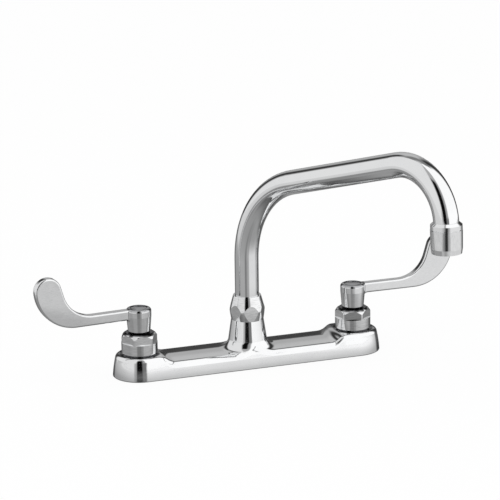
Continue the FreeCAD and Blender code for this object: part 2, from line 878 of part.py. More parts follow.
def cut_flats(body, across_flats, reach, base, top, twist):
    """Cut six flats on a turned nut between two heights."""
    start = float(twist)
    plan = new_sketch(body, "XY_Plane", base)
    draw_circle(plan, reach)
    corner = across_flats / math.sqrt(3)
    spots = [FreeCAD.Vector(float(corner) * math.cos(math.radians(60 * step + start)),
                            float(corner) * math.sin(math.radians(60 * step + start)), 0)
             for step in range(6)]
    guide = plan.addGeometry(Part.Circle(
        FreeCAD.Vector(0, 0, 0), FreeCAD.Vector(0, 0, 1), float(corner)), True)
    plan.addConstraint(Sketcher.Constraint("Coincident", guide, 3, -1, 1))
    drive(plan, "Radius", (guide,), corner)
    sides = [plan.addGeometry(Part.LineSegment(spot, spots[(index + 1) % 6]), False)
             for index, spot in enumerate(spots)]
    for index, line in enumerate(sides):
        follower = sides[(index + 1) % 6]
        plan.addConstraint(Sketcher.Constraint("Coincident", line, 2, follower, 1))
        plan.addConstraint(Sketcher.Constraint("PointOnObject", line, 1, guide))
        if index:
            plan.addConstraint(Sketcher.Constraint("Equal", sides[0], line))
    drive_angle(plan, (-1, 1, sides[0], 1), 120 + twist)
    pocket(body, plan, top - base, towards_up=True)


def make_bonnet_nut(side):
    """Round collar below, hexagon above, screwed over the neck of the body."""
    nut = new_body(f"{side}_bonnet_nut")
    base = size.boss_height
    thread = size.valve_neck_radius + size.thread_clearance
    hexagon_base = base + size.bonnet_collar_height
    turn(nut, [
        (thread, base),
        (size.bonnet_foot_radius, base),
        (size.bonnet_collar_radius, base + size.bonnet_foot_height),
        (size.bonnet_collar_radius, bonnet_top - size.bonnet_crown_height),
        (size.bonnet_crown_shoulder, bonnet_top - size.bonnet_crown_step),
        (size.bonnet_crown_radius, bonnet_top),
        (size.bonnet_mouth, bonnet_top),
        (size.bonnet_mouth, flange_top),
        (thread, flange_top),
    ])
    twist = size.right_bonnet_twist if side == "right" else size.left_bonnet_twist
    cut_flats(nut, size.bonnet_across_flats, size.bonnet_collar_radius + size.overrun,
              hexagon_base, bonnet_top, twist)
    stand_on_valve(nut, side)


def make_stem(side):
    """Spindle with a drive foot for the disc, ring grooves and a splined head."""
    stem = new_body(f"{side}_stem")
    slot_floor = stem_base - size.drive_slot_depth
    foot_top = stem_base + size.stem_foot_height
    foot = new_sketch(stem, "XY_Plane", slot_floor)
    half_width = size.drive_slot_width / 2
    half_length = size.disc_radius - size.running_clearance - size.foot_end_gap
    draw_rectangle(foot, -half_length, -half_width, half_length, half_width)
    pad(stem, foot, foot_top - slot_floor)
    collar_top = gallery_top - size.running_clearance
    collar_base = collar_top - size.stem_collar_height
    screw_hole = size.screw_shank_radius + size.thread_clearance
    outline = [
        (0, stem_base + size.running_clearance),
        (size.stem_radius, stem_base + size.running_clearance),
        (size.stem_radius, collar_base),
        (size.stem_collar_radius, collar_base),
        (size.stem_collar_radius, collar_top),
        (size.stem_radius, collar_top),
    ]
    groove = size.stem_radius - size.o_ring_section * 2 - size.running_clearance
    for drop in (size.lower_ring_drop, size.upper_ring_drop):
        middle = guide_top - drop
        low = middle - size.o_ring_groove_width / 2
        high = middle + size.o_ring_groove_width / 2
        outline += [(size.stem_radius, low), (groove, low),
                    (groove, high), (size.stem_radius, high)]
    outline += [
        (size.stem_radius, guide_top),
        (size.clip_groove_radius, guide_top),
        (size.clip_groove_radius, guide_top + size.clip_thickness),
        (size.stem_radius, guide_top + size.clip_thickness),
        (size.stem_radius, socket_base - size.running_clearance),
        (size.spline_root, socket_base - size.running_clearance),
        (size.spline_root, stem_top),
        (screw_hole, stem_top),
        (screw_hole, stem_top - size.screw_reach - size.overrun),
        (0, stem_top - size.screw_reach - size.overrun),
    ]
    turn(stem, outline)
    tooth = new_sketch(stem, "XY_Plane", socket_base - size.running_clearance)
    draw_tooth(tooth, 0)
    ridge = pad(stem, tooth, size.spline_length + size.running_clearance)
    repeat_around(stem, ridge, size.spline_count)
    stand_on_valve(stem, side, turns=True)


def draw_tooth(sketch, clearance):
    """One pointed tooth of the stem's head, or the wider notch that takes it."""
    half_width = size.tooth_width / 2 + clearance
    root = size.spline_root - size.spline_sink
    draw_outline(sketch, [
        (root, -half_width), (size.spline_radius + clearance, 0), (root, half_width)])


def make_o_rings(label, section, outer_radius, heights):
    """Two rubber rings of one size, kept together as one node."""
    rings = []
    for number, height in enumerate(heights, start=1):
        ring = doc.addObject("Part::Torus", f"{label}_{number}")
        bind(ring, "Radius1", outer_radius - section)
        bind(ring, "Radius2", section)
        bind(ring, "Placement.Base.z", height)
        rings.append(ring)
    pair = doc.addObject("Part::Compound", label)
    pair.Links = rings
    return keep_piece(pair, label)


def make_stem_clip(side):
    """Open spring ring in the stem's groove, above the guide."""
    clip = new_body(f"{side}_stem_clip")
    bore = size.clip_groove_radius + size.running_clearance
    turn(clip, [
        (bore, guide_top),
        (size.clip_radius, guide_top),
        (size.clip_radius, guide_top + size.clip_thickness),
        (bore, guide_top + size.clip_thickness),
    ])
    gap = new_sketch(clip, "XY_Plane", guide_top)
    half_gap = size.clip_gap / 2
    draw_rectangle(gap, -size.clip_radius - size.overrun, -half_gap, 0, half_gap)
    pocket(clip, gap, towards_up=True)
    stand_on_valve(clip, side, turns=True)


# Handle: one casting with a hub, a flat arm and a raised paddle

def draw_blade(sketch):
    """Side view of arm, paddle and the web under the arm, in tangent lines and arcs."""
    base = float(hub_base + size.arm_base_rise)
    web = float(size.gusset_radius)
    web_x = float(size.hub_base_radius - size.gusset_sink)
    top = base + float(size.arm_height)
    start = float(size.cap_radius) / 2
    lean = math.radians(float(size.paddle_lean))
    tip, outer, inner = (float(size.paddle_tip_radius), float(size.paddle_outer_radius),
                         float(size.paddle_inner_radius))
    tip_x = float(size.paddle_reach)
    tip_z = float(hub_base + size.paddle_rise)
    outer_z = base + outer
    outer_x = tip_x - math.sqrt((outer - tip) ** 2 - (tip_z - outer_z) ** 2)
    join = math.atan2(tip_z - outer_z, tip_x - outer_x)
    crest_x, crest_z = tip_x - tip * math.sin(lean), tip_z + tip * math.cos(lean)
    bend_z = top + inner * (1 - math.cos(lean))
    bend_x = crest_x + (bend_z - crest_z) / math.tan(lean)
    inner_x = bend_x - inner * math.sin(lean)
    up = FreeCAD.Vector(0, 0, 1)
    down = -math.pi / 2

    def line(x1, z1, x2, z2):
        return sketch.addGeometry(Part.LineSegment(
            FreeCAD.Vector(x1, z1, 0), FreeCAD.Vector(x2, z2, 0)), False)

    def arc(x, z, radius, begin, end):
        circle = Part.Circle(FreeCAD.Vector(x, z, 0), up, radius)
        return sketch.addGeometry(Part.ArcOfCircle(circle, begin, end), False)

    web_base = line(start, base - web, web_x, base - web)
    gusset = arc(web_x + web, base - web, web, math.pi / 2, math.pi)
    under = line(web_x + web, base, outer_x, base)
    belly = arc(outer_x, outer_z, outer, down, join)
    crest = arc(tip_x, tip_z, tip, join, math.pi / 2 + lean)
    rise = line(crest_x, crest_z, bend_x, bend_z)
    hollow = arc(inner_x, top + inner, inner, down, down + lean)
    upper = line(inner_x, top, start, top)
    root = line(start, top, start, base - web)
    for joint in ((gusset, 1, under, 1), (under, 2, belly, 1), (belly, 2, crest, 1), (crest, 2, rise, 1),
                  (rise, 2, hollow, 2), (hollow, 1, upper, 1)):
        sketch.addConstraint(Sketcher.Constraint("Tangent", *joint))
    sketch.addConstraint(Sketcher.Constraint("Coincident", upper, 2, root, 1))
    sketch.addConstraint(Sketcher.Constraint("Coincident", root, 2, web_base, 1))
    sketch.addConstraint(Sketcher.Constraint("Coincident", web_base, 2, gusset, 2))
    sketch.addConstraint(Sketcher.Constraint("Horizontal", web_base))
    sketch.addConstraint(Sketcher.Constraint("Horizontal", under))
    sketch.addConstraint(Sketcher.Constraint("Horizontal", upper))
    sketch.addConstraint(Sketcher.Constraint("Vertical", root))
    arm_base = hub_base + size.arm_base_rise
    web_place = size.hub_base_radius - size.gusset_sink
    pin_point(sketch, web_base, 1, size.cap_radius / 2, arm_base - size.gusset_radius)
    pin_point(sketch, gusset, 3, web_place + size.gusset_radius,
              arm_base - size.gusset_radius)
    pin_point(sketch, crest, 3, size.paddle_reach, hub_base + size.paddle_rise)
    drive(sketch, "Radius", (gusset,), size.gusset_radius)
    drive(sketch, "DistanceY", (under, 1, upper, 2), size.arm_height)
    drive(sketch, "Radius", (belly,), size.paddle_outer_radius)
    drive(sketch, "Radius", (crest,), size.paddle_tip_radius)
    drive(sketch, "Radius", (hollow,), size.paddle_inner_radius)
    drive_angle(sketch, (-1, 1, rise, 2), size.paddle_lean)


def make_hub(side):
    hub = new_body(f"{side}_hub", keep=False)
    turn(hub, [
        (0, hub_base),
        (size.hub_base_radius, hub_base),
        (size.hub_top_radius, hub_base + size.hub_taper_height),
        (size.hub_top_radius, hub_top),
        (0, hub_top),
    ])
    round_edges(hub, size.hub_edge, lambda edge: is_ring(
        edge, size.hub_top_radius, hub_top))
    round_edges(hub, size.hub_foot_edge, lambda edge: is_ring(
        edge, size.hub_base_radius, hub_base))
    return hub


def make_blade(side):
    blade = new_body(f"{side}_blade", keep=False)
    outline = new_sketch(blade, "XZ_Plane")
    draw_blade(outline)
    pad(blade, outline, size.blade_thickness, midplane=True)
    half = float(size.blade_thickness) / 2
    reach = float(size.hub_top_radius)
    round_edges(blade, size.blade_edge, lambda edge: all(
        abs(abs(spot.Point.y) - half) < MATCH for spot in edge.Vertexes)
        and max(spot.Point.x for spot in edge.Vertexes) > reach)
    return blade


def make_socket(side):
    """Space in the hub for the nut's mouth, the toothed stem, the screw and the cap."""
    socket = new_body(f"{side}_socket", keep=False)
    root = size.spline_root + size.running_clearance
    shank = size.screw_shank_radius + size.running_clearance
    turn(socket, [
        (0, hub_base - size.overrun),
        (size.hub_recess_radius, hub_base - size.overrun),
        (size.hub_recess_radius, socket_base),
        (root, socket_base),
        (root, stem_top),
        (shank, stem_top),
        (shank, screw_seat),
        (size.cap_radius, screw_seat),
        (size.cap_radius, hub_top + size.overrun),
        (0, hub_top + size.overrun),
    ])
    notch = new_sketch(socket, "XY_Plane", socket_base)
    draw_tooth(notch, size.tooth_clearance)
    repeat_around(socket, pad(socket, notch, size.spline_length), size.spline_count)
    return socket


def is_arm_root(edge):
    """True where the arm or the web under it runs into the side of the hub."""
    half = float(size.blade_thickness) / 2
    inner = float(size.hub_base_radius - size.gusset_sink)
    outer = float(size.hub_top_radius)
    web_base = float(hub_base + size.arm_base_rise - size.gusset_radius)
    return all(spot.x > 0 and abs(spot.y) < half + MATCH and spot.z > web_base
               and inner < math.hypot(spot.x, spot.y) < outer + MATCH
               for spot in edge_samples(edge))


def make_handle(side):
    joined = combine("Fuse", make_hub(side), make_blade(side), f"{side}_hub_and_blade")
    joined.Refine = True
    doc.recompute()
    casting = doc.addObject("Part::Fillet", f"{side}_casting")
    casting.Base = joined
    radius = float(size.arm_root_fillet)
    casting.Edges = [(number, radius, radius) for number, edge
                     in enumerate(joined.Shape.Edges, start=1) if is_arm_root(edge)]
    handle = combine("Cut", casting, make_socket(side), f"{side}_handle")
    stand_on_valve(handle, side, turns=True)
    keep_piece(handle, f"{side}_handle")


def make_handle_screw(side):
    screw = new_body(f"{side}_handle_screw")
    head_top = screw_seat + size.screw_head_height
    turn(screw, [
        (0, stem_top - size.screw_reach),
        (size.screw_shank_radius, stem_top - size.screw_reach),
        (size.screw_shank_radius, screw_seat),
        (size.screw_head_radius, screw_seat),
        (size.screw_head_radius, head_top),
        (0, head_top),
    ])
    recess = new_sketch(screw, "XY_Plane", head_top)
    draw_circle(recess, size.screw_recess_width / 2)
    pocket(screw, recess, size.screw_recess_depth)
    stand_on_valve(screw, side)


def make_index_cap(side):
    """Plain snap-in button that closes the hub above the screw."""
    cap = new_body(f"{side}_index_cap")
    rim = size.cap_radius - size.running_clearance
    skirt_bore = rim - size.cap_skirt
    skirt_base = screw_seat + size.cap_skirt_gap
    plate_base = hub_top - size.cap_plate
    turn(cap, [
        (0, plate_base),
        (skirt_bore, plate_base),
        (skirt_bore, skirt_base),
        (rim, skirt_base),
        (rim, hub_top - size.cap_crown / 2),
        (rim - size.cap_edge, hub_top),
        (0, hub_top + size.cap_crown),
    ])
    stand_on_valve(cap, side)


# Spout nut and the rings that it clamps over the riser's neck

def make_spout_nut():
    """Faceted double cone, narrow above and below, screwed over the riser's neck."""
    nut = new_body("spout_nut")
    base = size.cone_top_height
    thread = size.spout_neck_radius + size.thread_clearance
    mouth = size.tube_radius + size.nut_mouth_clearance
    top = base + size.nut_height
    ceiling = base + size.nut_ceiling
    turn(nut, [
        (thread, base),
        (size.nut_base_radius, base),
        (size.nut_waist_radius, base + size.nut_waist_height),
        (size.nut_top_radius, top),
        (mouth, top),
        (mouth, ceiling),
        (thread, ceiling),
    ])
    round_edges(nut, size.nut_waist_height / 2, lambda edge: is_ring(
        edge, size.nut_waist_radius, base + size.nut_waist_height))
    cut_flats(nut, size.nut_across_flats, size.nut_waist_radius + size.overrun,
              base, top, size.nut_twist)


def make_spout_washer():
    washer = new_body("spout_washer")
    turn(washer, [
        (size.spout_bore, spout_neck_top),
        (size.spout_neck_radius, spout_neck_top),
        (size.spout_neck_radius, spout_flange_base),
        (size.spout_bore, spout_flange_base),
    ])


def make_bearing_ring():
    """Low-friction ring between the spout's flange and the nut."""
    ring = new_body("spout_bearing_ring")
    bore = size.tube_radius + size.nut_mouth_clearance
    ceiling = size.cone_top_height + size.nut_ceiling
    turn(ring, [
        (bore, ceiling - size.bearing_ring_thickness),
        (size.spout_flange_radius, ceiling - size.bearing_ring_thickness),
        (size.spout_flange_radius, ceiling),
        (bore, ceiling),
    ])


# Spout: built in its own vertical plane along +X, then turned about the riser

def turn_spout(thing):
    bind(thing, "Placement.Rotation.Angle", -size.spout_turn)


def make_spigot():
    """Brass end of the spout: it turns in the riser on two rings."""
    spigot = new_body("spout_spigot")
    shaft = size.spout_bore - size.running_clearance
    groove = shaft - size.spout_ring_section * 2 - size.running_clearance
    outline = [(size.spigot_bore, size.spigot_foot), (shaft, size.spigot_foot)]
    for middle in (size.lower_spout_ring, size.upper_spout_ring):
        low = middle - size.spout_ring_groove_width / 2
        high = middle + size.spout_ring_groove_width / 2
        outline += [(shaft, low), (groove, low), (groove, high), (shaft, high)]
    pilot = tube_bore - size.running_clearance
    outline += [
        (shaft, spout_flange_base),
        (size.spout_flange_radius, spout_flange_base),
        (size.spout_flange_radius, tube_base),
        (pilot, tube_base),
        (pilot, tube_base + size.spigot_pilot),
        (size.spigot_bore, tube_base + size.spigot_pilot),
    ]
    turn(spigot, outline)
    turn_spout(spigot)


def spout_path():
    """Corners and centres of the spout's centre line, in its own plane."""
    bend_1, bend_2 = float(size.first_bend_radius), float(size.second_bend_radius)
    turn_1 = math.radians(float(size.first_bend_angle))
    turn_2 = math.radians(float(size.second_bend_angle))
    top = FreeCAD.Vector(0, float(size.riser_top), 0)
    centre_1 = top + FreeCAD.Vector(bend_1, 0, 0)
    run_start = centre_1 + FreeCAD.Vector(-math.cos(turn_1), math.sin(turn_1), 0) * bend_1
    climb = math.pi / 2 - turn_1
    ahead = FreeCAD.Vector(math.cos(climb), math.sin(climb), 0)
    run_end = run_start + ahead * float(size.run_length)
    centre_2 = run_end + FreeCAD.Vector(math.sin(climb), -math.cos(climb), 0) * bend_2
    fall = climb - turn_2
    outlet = FreeCAD.Vector(math.cos(fall), math.sin(fall), 0)
    drop_start = centre_2 + FreeCAD.Vector(-math.sin(fall), math.cos(fall), 0) * bend_2
    drop_end = drop_start + outlet * float(size.outlet_drop)
    return {"top": top, "centre_1": centre_1, "run_start": run_start, "run_end": run_end,
            "centre_2": centre_2, "drop_start": drop_start, "drop_end": drop_end,
            "climb": climb, "fall": fall}


def make_spout_tube():
    """Thin tube swept along the riser, two bends, the rising run and the drop."""
    tube = new_body("spout_tube")
    section = new_sketch(tube, "XY_Plane", tube_base)
    draw_circle(section, size.tube_radius)
    draw_circle(section, tube_bore)
    path = new_sketch(tube, "XZ_Plane")
    route = spout_path()
    up = FreeCAD.Vector(0, 0, 1)
    quarter = math.pi / 2
    foot = FreeCAD.Vector(0, float(tube_base), 0)
    riser = path.addGeometry(Part.LineSegment(foot, route["top"]), False)
    bend_1 = path.addGeometry(Part.ArcOfCircle(
        Part.Circle(route["centre_1"], up, float(size.first_bend_radius)),
        route["climb"] + quarter, math.pi), False)
    run = path.addGeometry(Part.LineSegment(route["run_start"], route["run_end"]), False)
    bend_2 = path.addGeometry(Part.ArcOfCircle(
        Part.Circle(route["centre_2"], up, float(size.second_bend_radius)),
        route["fall"] + quarter, route["climb"] + quarter), False)
    drop = path.addGeometry(Part.LineSegment(route["drop_start"], route["drop_end"]), False)
    for joint in ((riser, 2, bend_1, 2), (bend_1, 1, run, 1),
                  (run, 2, bend_2, 2), (bend_2, 1, drop, 1)):
        path.addConstraint(Sketcher.Constraint("Tangent", *joint))
    path.addConstraint(Sketcher.Constraint("Vertical", riser))
    pin_point(path, riser, 1, 0, tube_base)
    drive(path, "DistanceY", (-1, 1, riser, 2), size.riser_top)
    drive(path, "Radius", (bend_1,), size.first_bend_radius)
    drive(path, "Radius", (bend_2,), size.second_bend_radius)
    drive(path, "Distance", (run,), size.run_length)
    drive(path, "Distance", (drop,), size.outlet_drop)
    drive_angle(path, (-1, 1, run, 1), 90 - size.first_bend_angle)
    drive_angle(path, (-1, 1, drop, 1), 90 - size.first_bend_angle - size.second_bend_angle)
    sweep = add_feature(tube, "AdditivePipe", section, "sweep")
    sweep.Spine = path
    turn_spout(tube)


def hang_on_outlet(thing):
    """Put a piece at the end of the tube, with its +Z along the flow."""
    route = spout_path()
    end = route["drop_end"]
    tilt = FreeCAD.Rotation(FreeCAD.Vector(0, 1, 0), 90 - math.degrees(route["fall"]))
    swing = FreeCAD.Rotation(FreeCAD.Vector(0, 0, 1), -float(size.spout_turn))
    place = swing.multVec(FreeCAD.Vector(end.x, 0, end.y))
    thing.Placement = FreeCAD.Placement(place, swing.multiply(tilt))


def make_outlet_collar():
    """Threaded ferrule brazed on the end of the tube."""
    collar = new_body("outlet_collar")
    grip = size.tube_radius + size.running_clearance
    turn(collar, [
        (grip, -size.collar_grip),
        (size.collar_radius, -size.collar_grip + size.collar_shoulder),
        (size.collar_radius, -size.collar_skirt),
        (size.outlet_thread_radius, -size.collar_skirt),
        (size.outlet_thread_radius, size.outlet_thread_length),
        (size.outlet_bore, size.outlet_thread_length),
        (size.outlet_bore, 0),
        (grip, 0),
    ])
    hang_on_outlet(collar)


def make_aerator_housing():
    """Chromed sleeve that screws on the outlet and holds the insert."""
    housing = new_body("aerator_housing")
    start = -size.collar_skirt + size.housing_gap
    end = start + size.housing_length
    thread = size.outlet_thread_radius + size.thread_clearance
    washer_end = size.outlet_thread_length + size.aerator_washer_thickness
    turn(housing, [
        (thread, start),
        (size.housing_radius, start),
        (size.housing_low_radius, end - size.housing_bevel),
        (size.housing_mouth_radius, end),
        (size.housing_lip_radius, end),
        (size.housing_lip_radius, end - size.housing_lip),
        (size.housing_bore, end - size.housing_lip),
        (size.housing_bore, washer_end),
        (thread, washer_end),
    ])
    hang_on_outlet(housing)


def make_aerator_washer():
    washer = new_body("aerator_washer")
    start = size.outlet_thread_length
    turn(washer, [
        (size.aerator_washer_bore, start),
        (size.outlet_thread_radius, start),
        (size.outlet_thread_radius, start + size.aerator_washer_thickness),
        (size.aerator_washer_bore, start + size.aerator_washer_thickness),
    ])
    hang_on_outlet(washer)


def aerator_levels():
    start = size.outlet_thread_length + size.aerator_washer_thickness
    end = size.housing_length - size.collar_skirt + size.housing_gap - size.housing_lip
    return start, end - size.screen_thickness, end


def make_aerator_insert():
    """Plastic flow insert: a drilled plate over an open cup."""
    insert = new_body("aerator_insert")
    start, screen, end = aerator_levels()
    rim = size.housing_bore - size.running_clearance
    wall = rim - size.insert_wall
    plate = start + size.insert_plate
    turn(insert, [
        (0, start), (rim, start), (rim, screen), (wall, screen), (wall, plate), (0, plate),
    ])
    hole = new_sketch(insert, "XY_Plane", start)
    draw_circle(hole, size.insert_hole_radius, size.insert_hole_circle)
    repeat_around(insert, pocket(insert, hole, towards_up=True), size.insert_hole_count)
    hang_on_outlet(insert)


def make_aerator_screen():
    """Round grille that straightens the stream at the mouth."""
    screen = new_body("aerator_screen")
    start, base, end = aerator_levels()
    rim = size.housing_bore - size.running_clearance
    plan = new_sketch(screen, "XY_Plane", base)
    draw_circle(plan, rim)
    pad(screen, plan, end - base)
    slots = new_sketch(screen, "XY_Plane", base)
    pitch, width = float(size.screen_slot_pitch), float(size.screen_slot_width)
    field = float(size.housing_bore - size.screen_rim)
    rows = int((field - width) / pitch)
    for row in range(-rows, rows + 1):
        half = math.sqrt(field ** 2 - (abs(row) * pitch + width / 2) ** 2)
        middle = size.screen_slot_pitch * row
        draw_rectangle(slots, -half, middle - size.screen_slot_width / 2,
                       half, middle + size.screen_slot_width / 2)
    pocket(screen, slots, towards_up=True)
    hang_on_outlet(screen)


make_deck_body()
make_deck_gasket()
for side in ("left", "right"):
    make_seat_seal(side)
    make_disc(f"{side}_fixed_disc", side, fixed_disc_base, 0)
    make_moving_disc(side)
    make_cartridge_body(side)
    make_bonnet_washer(side)
    make_bonnet_nut(side)
    make_stem(side)
    stem_rings = make_o_rings(
        f"{side}_stem_o_rings", size.o_ring_section,
        size.stem_radius + size.running_clearance - size.ring_clearance,
        [guide_top - size.lower_ring_drop, guide_top - size.upper_ring_drop])
    stand_on_valve(stem_rings, side)
    make_stem_clip(side)
    make_handle(side)
    make_handle_screw(side)
    make_index_cap(side)
make_spout_nut()
make_spout_washer()
make_bearing_ring()
make_spigot()
make_spout_tube()
turn_spout(make_o_rings(
    "spout_o_rings", size.spout_ring_section, size.spout_bore - size.ring_clearance,
    [size.lower_spout_ring, size.upper_spout_ring]))
make_outlet_collar()
make_aerator_housing()
make_aerator_washer()
make_aerator_insert()
make_aerator_screen()
doc.recompute()

faults = [item.Name for item in doc.Objects
          if "Invalid" in item.State or "Error" in item.State]
faults += [piece.Label for piece in pieces
           if piece.Shape.isNull() or not piece.Shape.isValid() or not piece.Shape.Solids]
if faults:
    raise RuntimeError(f"these did not build: {faults}")

os.makedirs("parts", exist_ok=True)
for piece in pieces:
    piece.Shape.exportStep(f"parts/{piece.Label}.step")
    box = piece.Shape.optimalBoundingBox()
    print(f"{piece.Label:24s} solids {len(piece.Shape.Solids)} volume {piece.Shape.Volume:9.1f}"
          f"  z {box.ZMin:.2f} to {box.ZMax:.2f}")
print(len(pieces), "pieces")
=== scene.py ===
# %% [markdown]
# # A chromed kitchen faucet
# The faucet is a cast bridge body on the deck, two quarter-turn valves with blade
# handles, and a swinging spout bent from thin tube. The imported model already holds
# every piece at its real size, so this script gives each one its finish and sets up
# the studio. Polished chrome has almost no colour of its own: it shows the room.
# Most of the likeness therefore comes from what stands around the faucet, and from
# the small waves that casting and polishing leave in each surface.

# %% Load the fixed frame
import json
import math

import bmesh
import bpy
from mathutils import Matrix, Vector


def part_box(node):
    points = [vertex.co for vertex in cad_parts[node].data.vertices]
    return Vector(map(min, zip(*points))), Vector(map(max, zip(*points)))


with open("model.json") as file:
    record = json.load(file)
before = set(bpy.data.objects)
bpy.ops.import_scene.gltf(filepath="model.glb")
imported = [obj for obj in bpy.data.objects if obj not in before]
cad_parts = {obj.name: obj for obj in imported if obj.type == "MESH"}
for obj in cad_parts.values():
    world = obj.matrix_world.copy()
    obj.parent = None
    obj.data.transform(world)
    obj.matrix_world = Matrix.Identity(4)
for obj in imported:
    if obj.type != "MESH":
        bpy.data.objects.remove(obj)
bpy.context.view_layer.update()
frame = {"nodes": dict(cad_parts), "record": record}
nodes = frame["nodes"]

# %% [markdown]
# ## The camera
# The picture was taken from the left of the faucet and a little above it, from far
# away: the two ends of the body look almost the same size. A long lens at 2.5 m
# gives that flat perspective. The frame is square and its centre is the lens axis,
# so no shift is needed. The camera also leans by under a degree.

# %% Camera
# degrees
AZIMUTH = -19.62
ELEVATION = 15.63
LEAN = -0.744
# metres
DISTANCE = 2.5
AIM = Vector((0.0121, 0.0244, 0.0964))
# millimetres
FOCAL_LENGTH = 200
SENSOR = 36

turned = Matrix.Rotation(math.radians(AZIMUTH), 4, "Z")
tipped = Matrix.Rotation(math.radians(90 - ELEVATION), 4, "X")
leaned = Matrix.Rotation(math.radians(LEAN), 4, "Z")
backed_off = Matrix.Translation((0, 0, DISTANCE))
lens = bpy.data.cameras.new("long_lens")
lens.lens = FOCAL_LENGTH
lens.sensor_width = SENSOR
camera = bpy.data.objects.new("camera", lens)
bpy.context.scene.collection.objects.link(camera)
camera.matrix_world = Matrix.Translation(AIM) @ turned @ tipped @ leaned @ backed_off
bpy.context.scene.camera = camera
bpy.context.scene.view_settings.view_transform = "Standard"
print("camera stands at", [round(part, 3) for part in camera.matrix_world.translation])


# %% [markdown]
# ## Writing shader maths as sums
# A material is a graph of nodes. Wiring them one by one hides the idea, so the
# class below wraps an output socket and lets Python's own operators add the Math
# nodes. Every other node comes from one method, which takes the node's type, its
# settings and what goes into its sockets.

# %% Sockets that can be added and multiplied
class Signal:
    """The output of a node, ready for shader maths."""

    def __init__(self, shader, socket):
        self.shader = shader
        self.socket = socket

    def maths(self, operation, *others, swapped=False):
        terms = [self, *others]
        if swapped:
            terms.reverse()
        return self.shader.node("Math", {"operation": operation}, dict(enumerate(terms)))

    def __add__(self, other):
        return self.maths("ADD", other)

    __radd__ = __add__

    def __sub__(self, other):
        return self.maths("SUBTRACT", other)

    def __rsub__(self, other):
        return self.maths("SUBTRACT", other, swapped=True)

    def __mul__(self, other):
        return self.maths("MULTIPLY", other)

    __rmul__ = __mul__

    def rise(self, low, high):
        """0 below low, 1 above high, and a smooth climb between them."""
        return self.shader.node("MapRange", {"interpolation_type": "SMOOTHSTEP"},
                                {"Value": self, "From Min": low, "From Max": high})


class Shader:
    """The node graph of one material or of the world."""

    def __init__(self, owner):
        owner.use_nodes = True
        self.tree = owner.node_tree
        self.tree.nodes.clear()

    def node(self, kind, settings=None, inputs=None, output=0):
        made = self.tree.nodes.new("ShaderNode" + kind)
        for name, setting in (settings or {}).items():
            setattr(made, name, setting)
        for name, value in (inputs or {}).items():
            if isinstance(value, Signal):
                self.tree.links.new(value.socket, made.inputs[name])
            else:
                made.inputs[name].default_value = value
        if made.outputs:
            return Signal(self, made.outputs[output])


print("sockets can now be added, subtracted and multiplied")

# %% [markdown]
# ## White all round
# The picture's background is plain white. The world is white where the camera sees
# it. For dull surfaces it is an even light a shade below white, so that they render
# about as their colour is written.

# %% World
DULL_LEVEL = 0.95

world = bpy.data.worlds.new("studio")
bpy.context.scene.world = world
studio = Shader(world)
seen = studio.node("LightPath", output="Is Camera Ray")
background = studio.node("Background", inputs={
    "Color": DULL_LEVEL + seen * (1 - DULL_LEVEL), "Strength": 1.0})
studio.node("OutputWorld", inputs={"Surface": background})
print("the world lights dull surfaces at", DULL_LEVEL)

# %% [markdown]
# ## A light tent
# Chrome is photographed inside a tent of white cloth. Two bright walls stand left
# and right. The slit between them, where the lens looks in, shows as the thin black
# line down the middle of every upright round part, and the half light along its
# edges as grey beside that line. Two dark cards behind the faucet draw its outline.
# A low dark band between the cards darkens the backs of the flat tops, and a dull
# patch of roof greys the outer side of the spout's last bend. A world texture would
# be simpler, but it stands infinitely far away: the black line would then sit at the
# same angle on both valves, and in the picture it doesn't. So the tent is a real ball
# a metre and a half away, painted by compass angle and height. Only glossy rays see it.

# %% What hangs in the tent
TENT_RADIUS = 1.5
CLOTH_LEVEL = 0.42
FROM_FLOOR = -9
TO_TOP = 99
# grey level, compass angle, half width, lowest, highest, softness of the edge: degrees
PANELS = {
    "upper cloth between the cards": (0.52, 62, 60, 34, TO_TOP, 20),
    "left wall": (0.78, 176, 56, FROM_FLOOR, TO_TOP, 10),
    "right wall": (1.05, -37, 49, FROM_FLOOR, TO_TOP, 9),
    "low dark band behind": (0.06, 66, 42, FROM_FLOOR, 7, 6),
    "dim cloth beside the lens": (0.18, -92, 9, FROM_FLOOR, 9, 6),
    "half light left of the slit": (0.40, -130, 5, FROM_FLOOR, 9, 8),
    "half light right of the slit": (0.33, -96, 7, 9, 55, 8),
    "slit for the lens": (0.003, -112.5, 12.5, FROM_FLOOR, 55, 7),
    "near dark card": (0.035, 29, 15, FROM_FLOOR, 72, 20),
    "far dark card": (0.035, 104.5, 12, FROM_FLOOR, 60, 16),
    "dull roof behind": (0.20, 62, 62, 62, 80, 10),
}
print("the tent has", len(PANELS), "panels")


# %% Masks by compass angle and height
def sector(angle, middle, half, soft):
    """1 within half degrees of the middle of a compass sector, 0 outside it."""
    away = (angle - middle).maths("WRAP", 180, -180).maths("ABSOLUTE")
    return 1 - away.rise(half - soft / 2, half + soft / 2)


def band(value, low, high, soft):
    """1 between low and high, 0 outside them, with edges as wide as soft."""
    return value.rise(low - soft / 2, low + soft / 2) * (
        1 - value.rise(high - soft / 2, high + soft / 2))


def painted(level, mask, grey):
    """A level with grey laid over it where the mask is 1."""
    return level + mask * (grey - level)


def places(shader):
    """The three Object coordinates of the point that is shaded."""
    place = shader.node("TexCoord", output="Object")
    return [shader.node("SeparateXYZ", inputs={0: place}, output=axis) for axis in "XYZ"]


def compass_angle(x, y):
    """Degrees from +X, turning towards +Y."""
    return y.maths("ARCTAN2", x) * math.degrees(1)


# %% The tent itself
TENT_SEGMENTS = 96


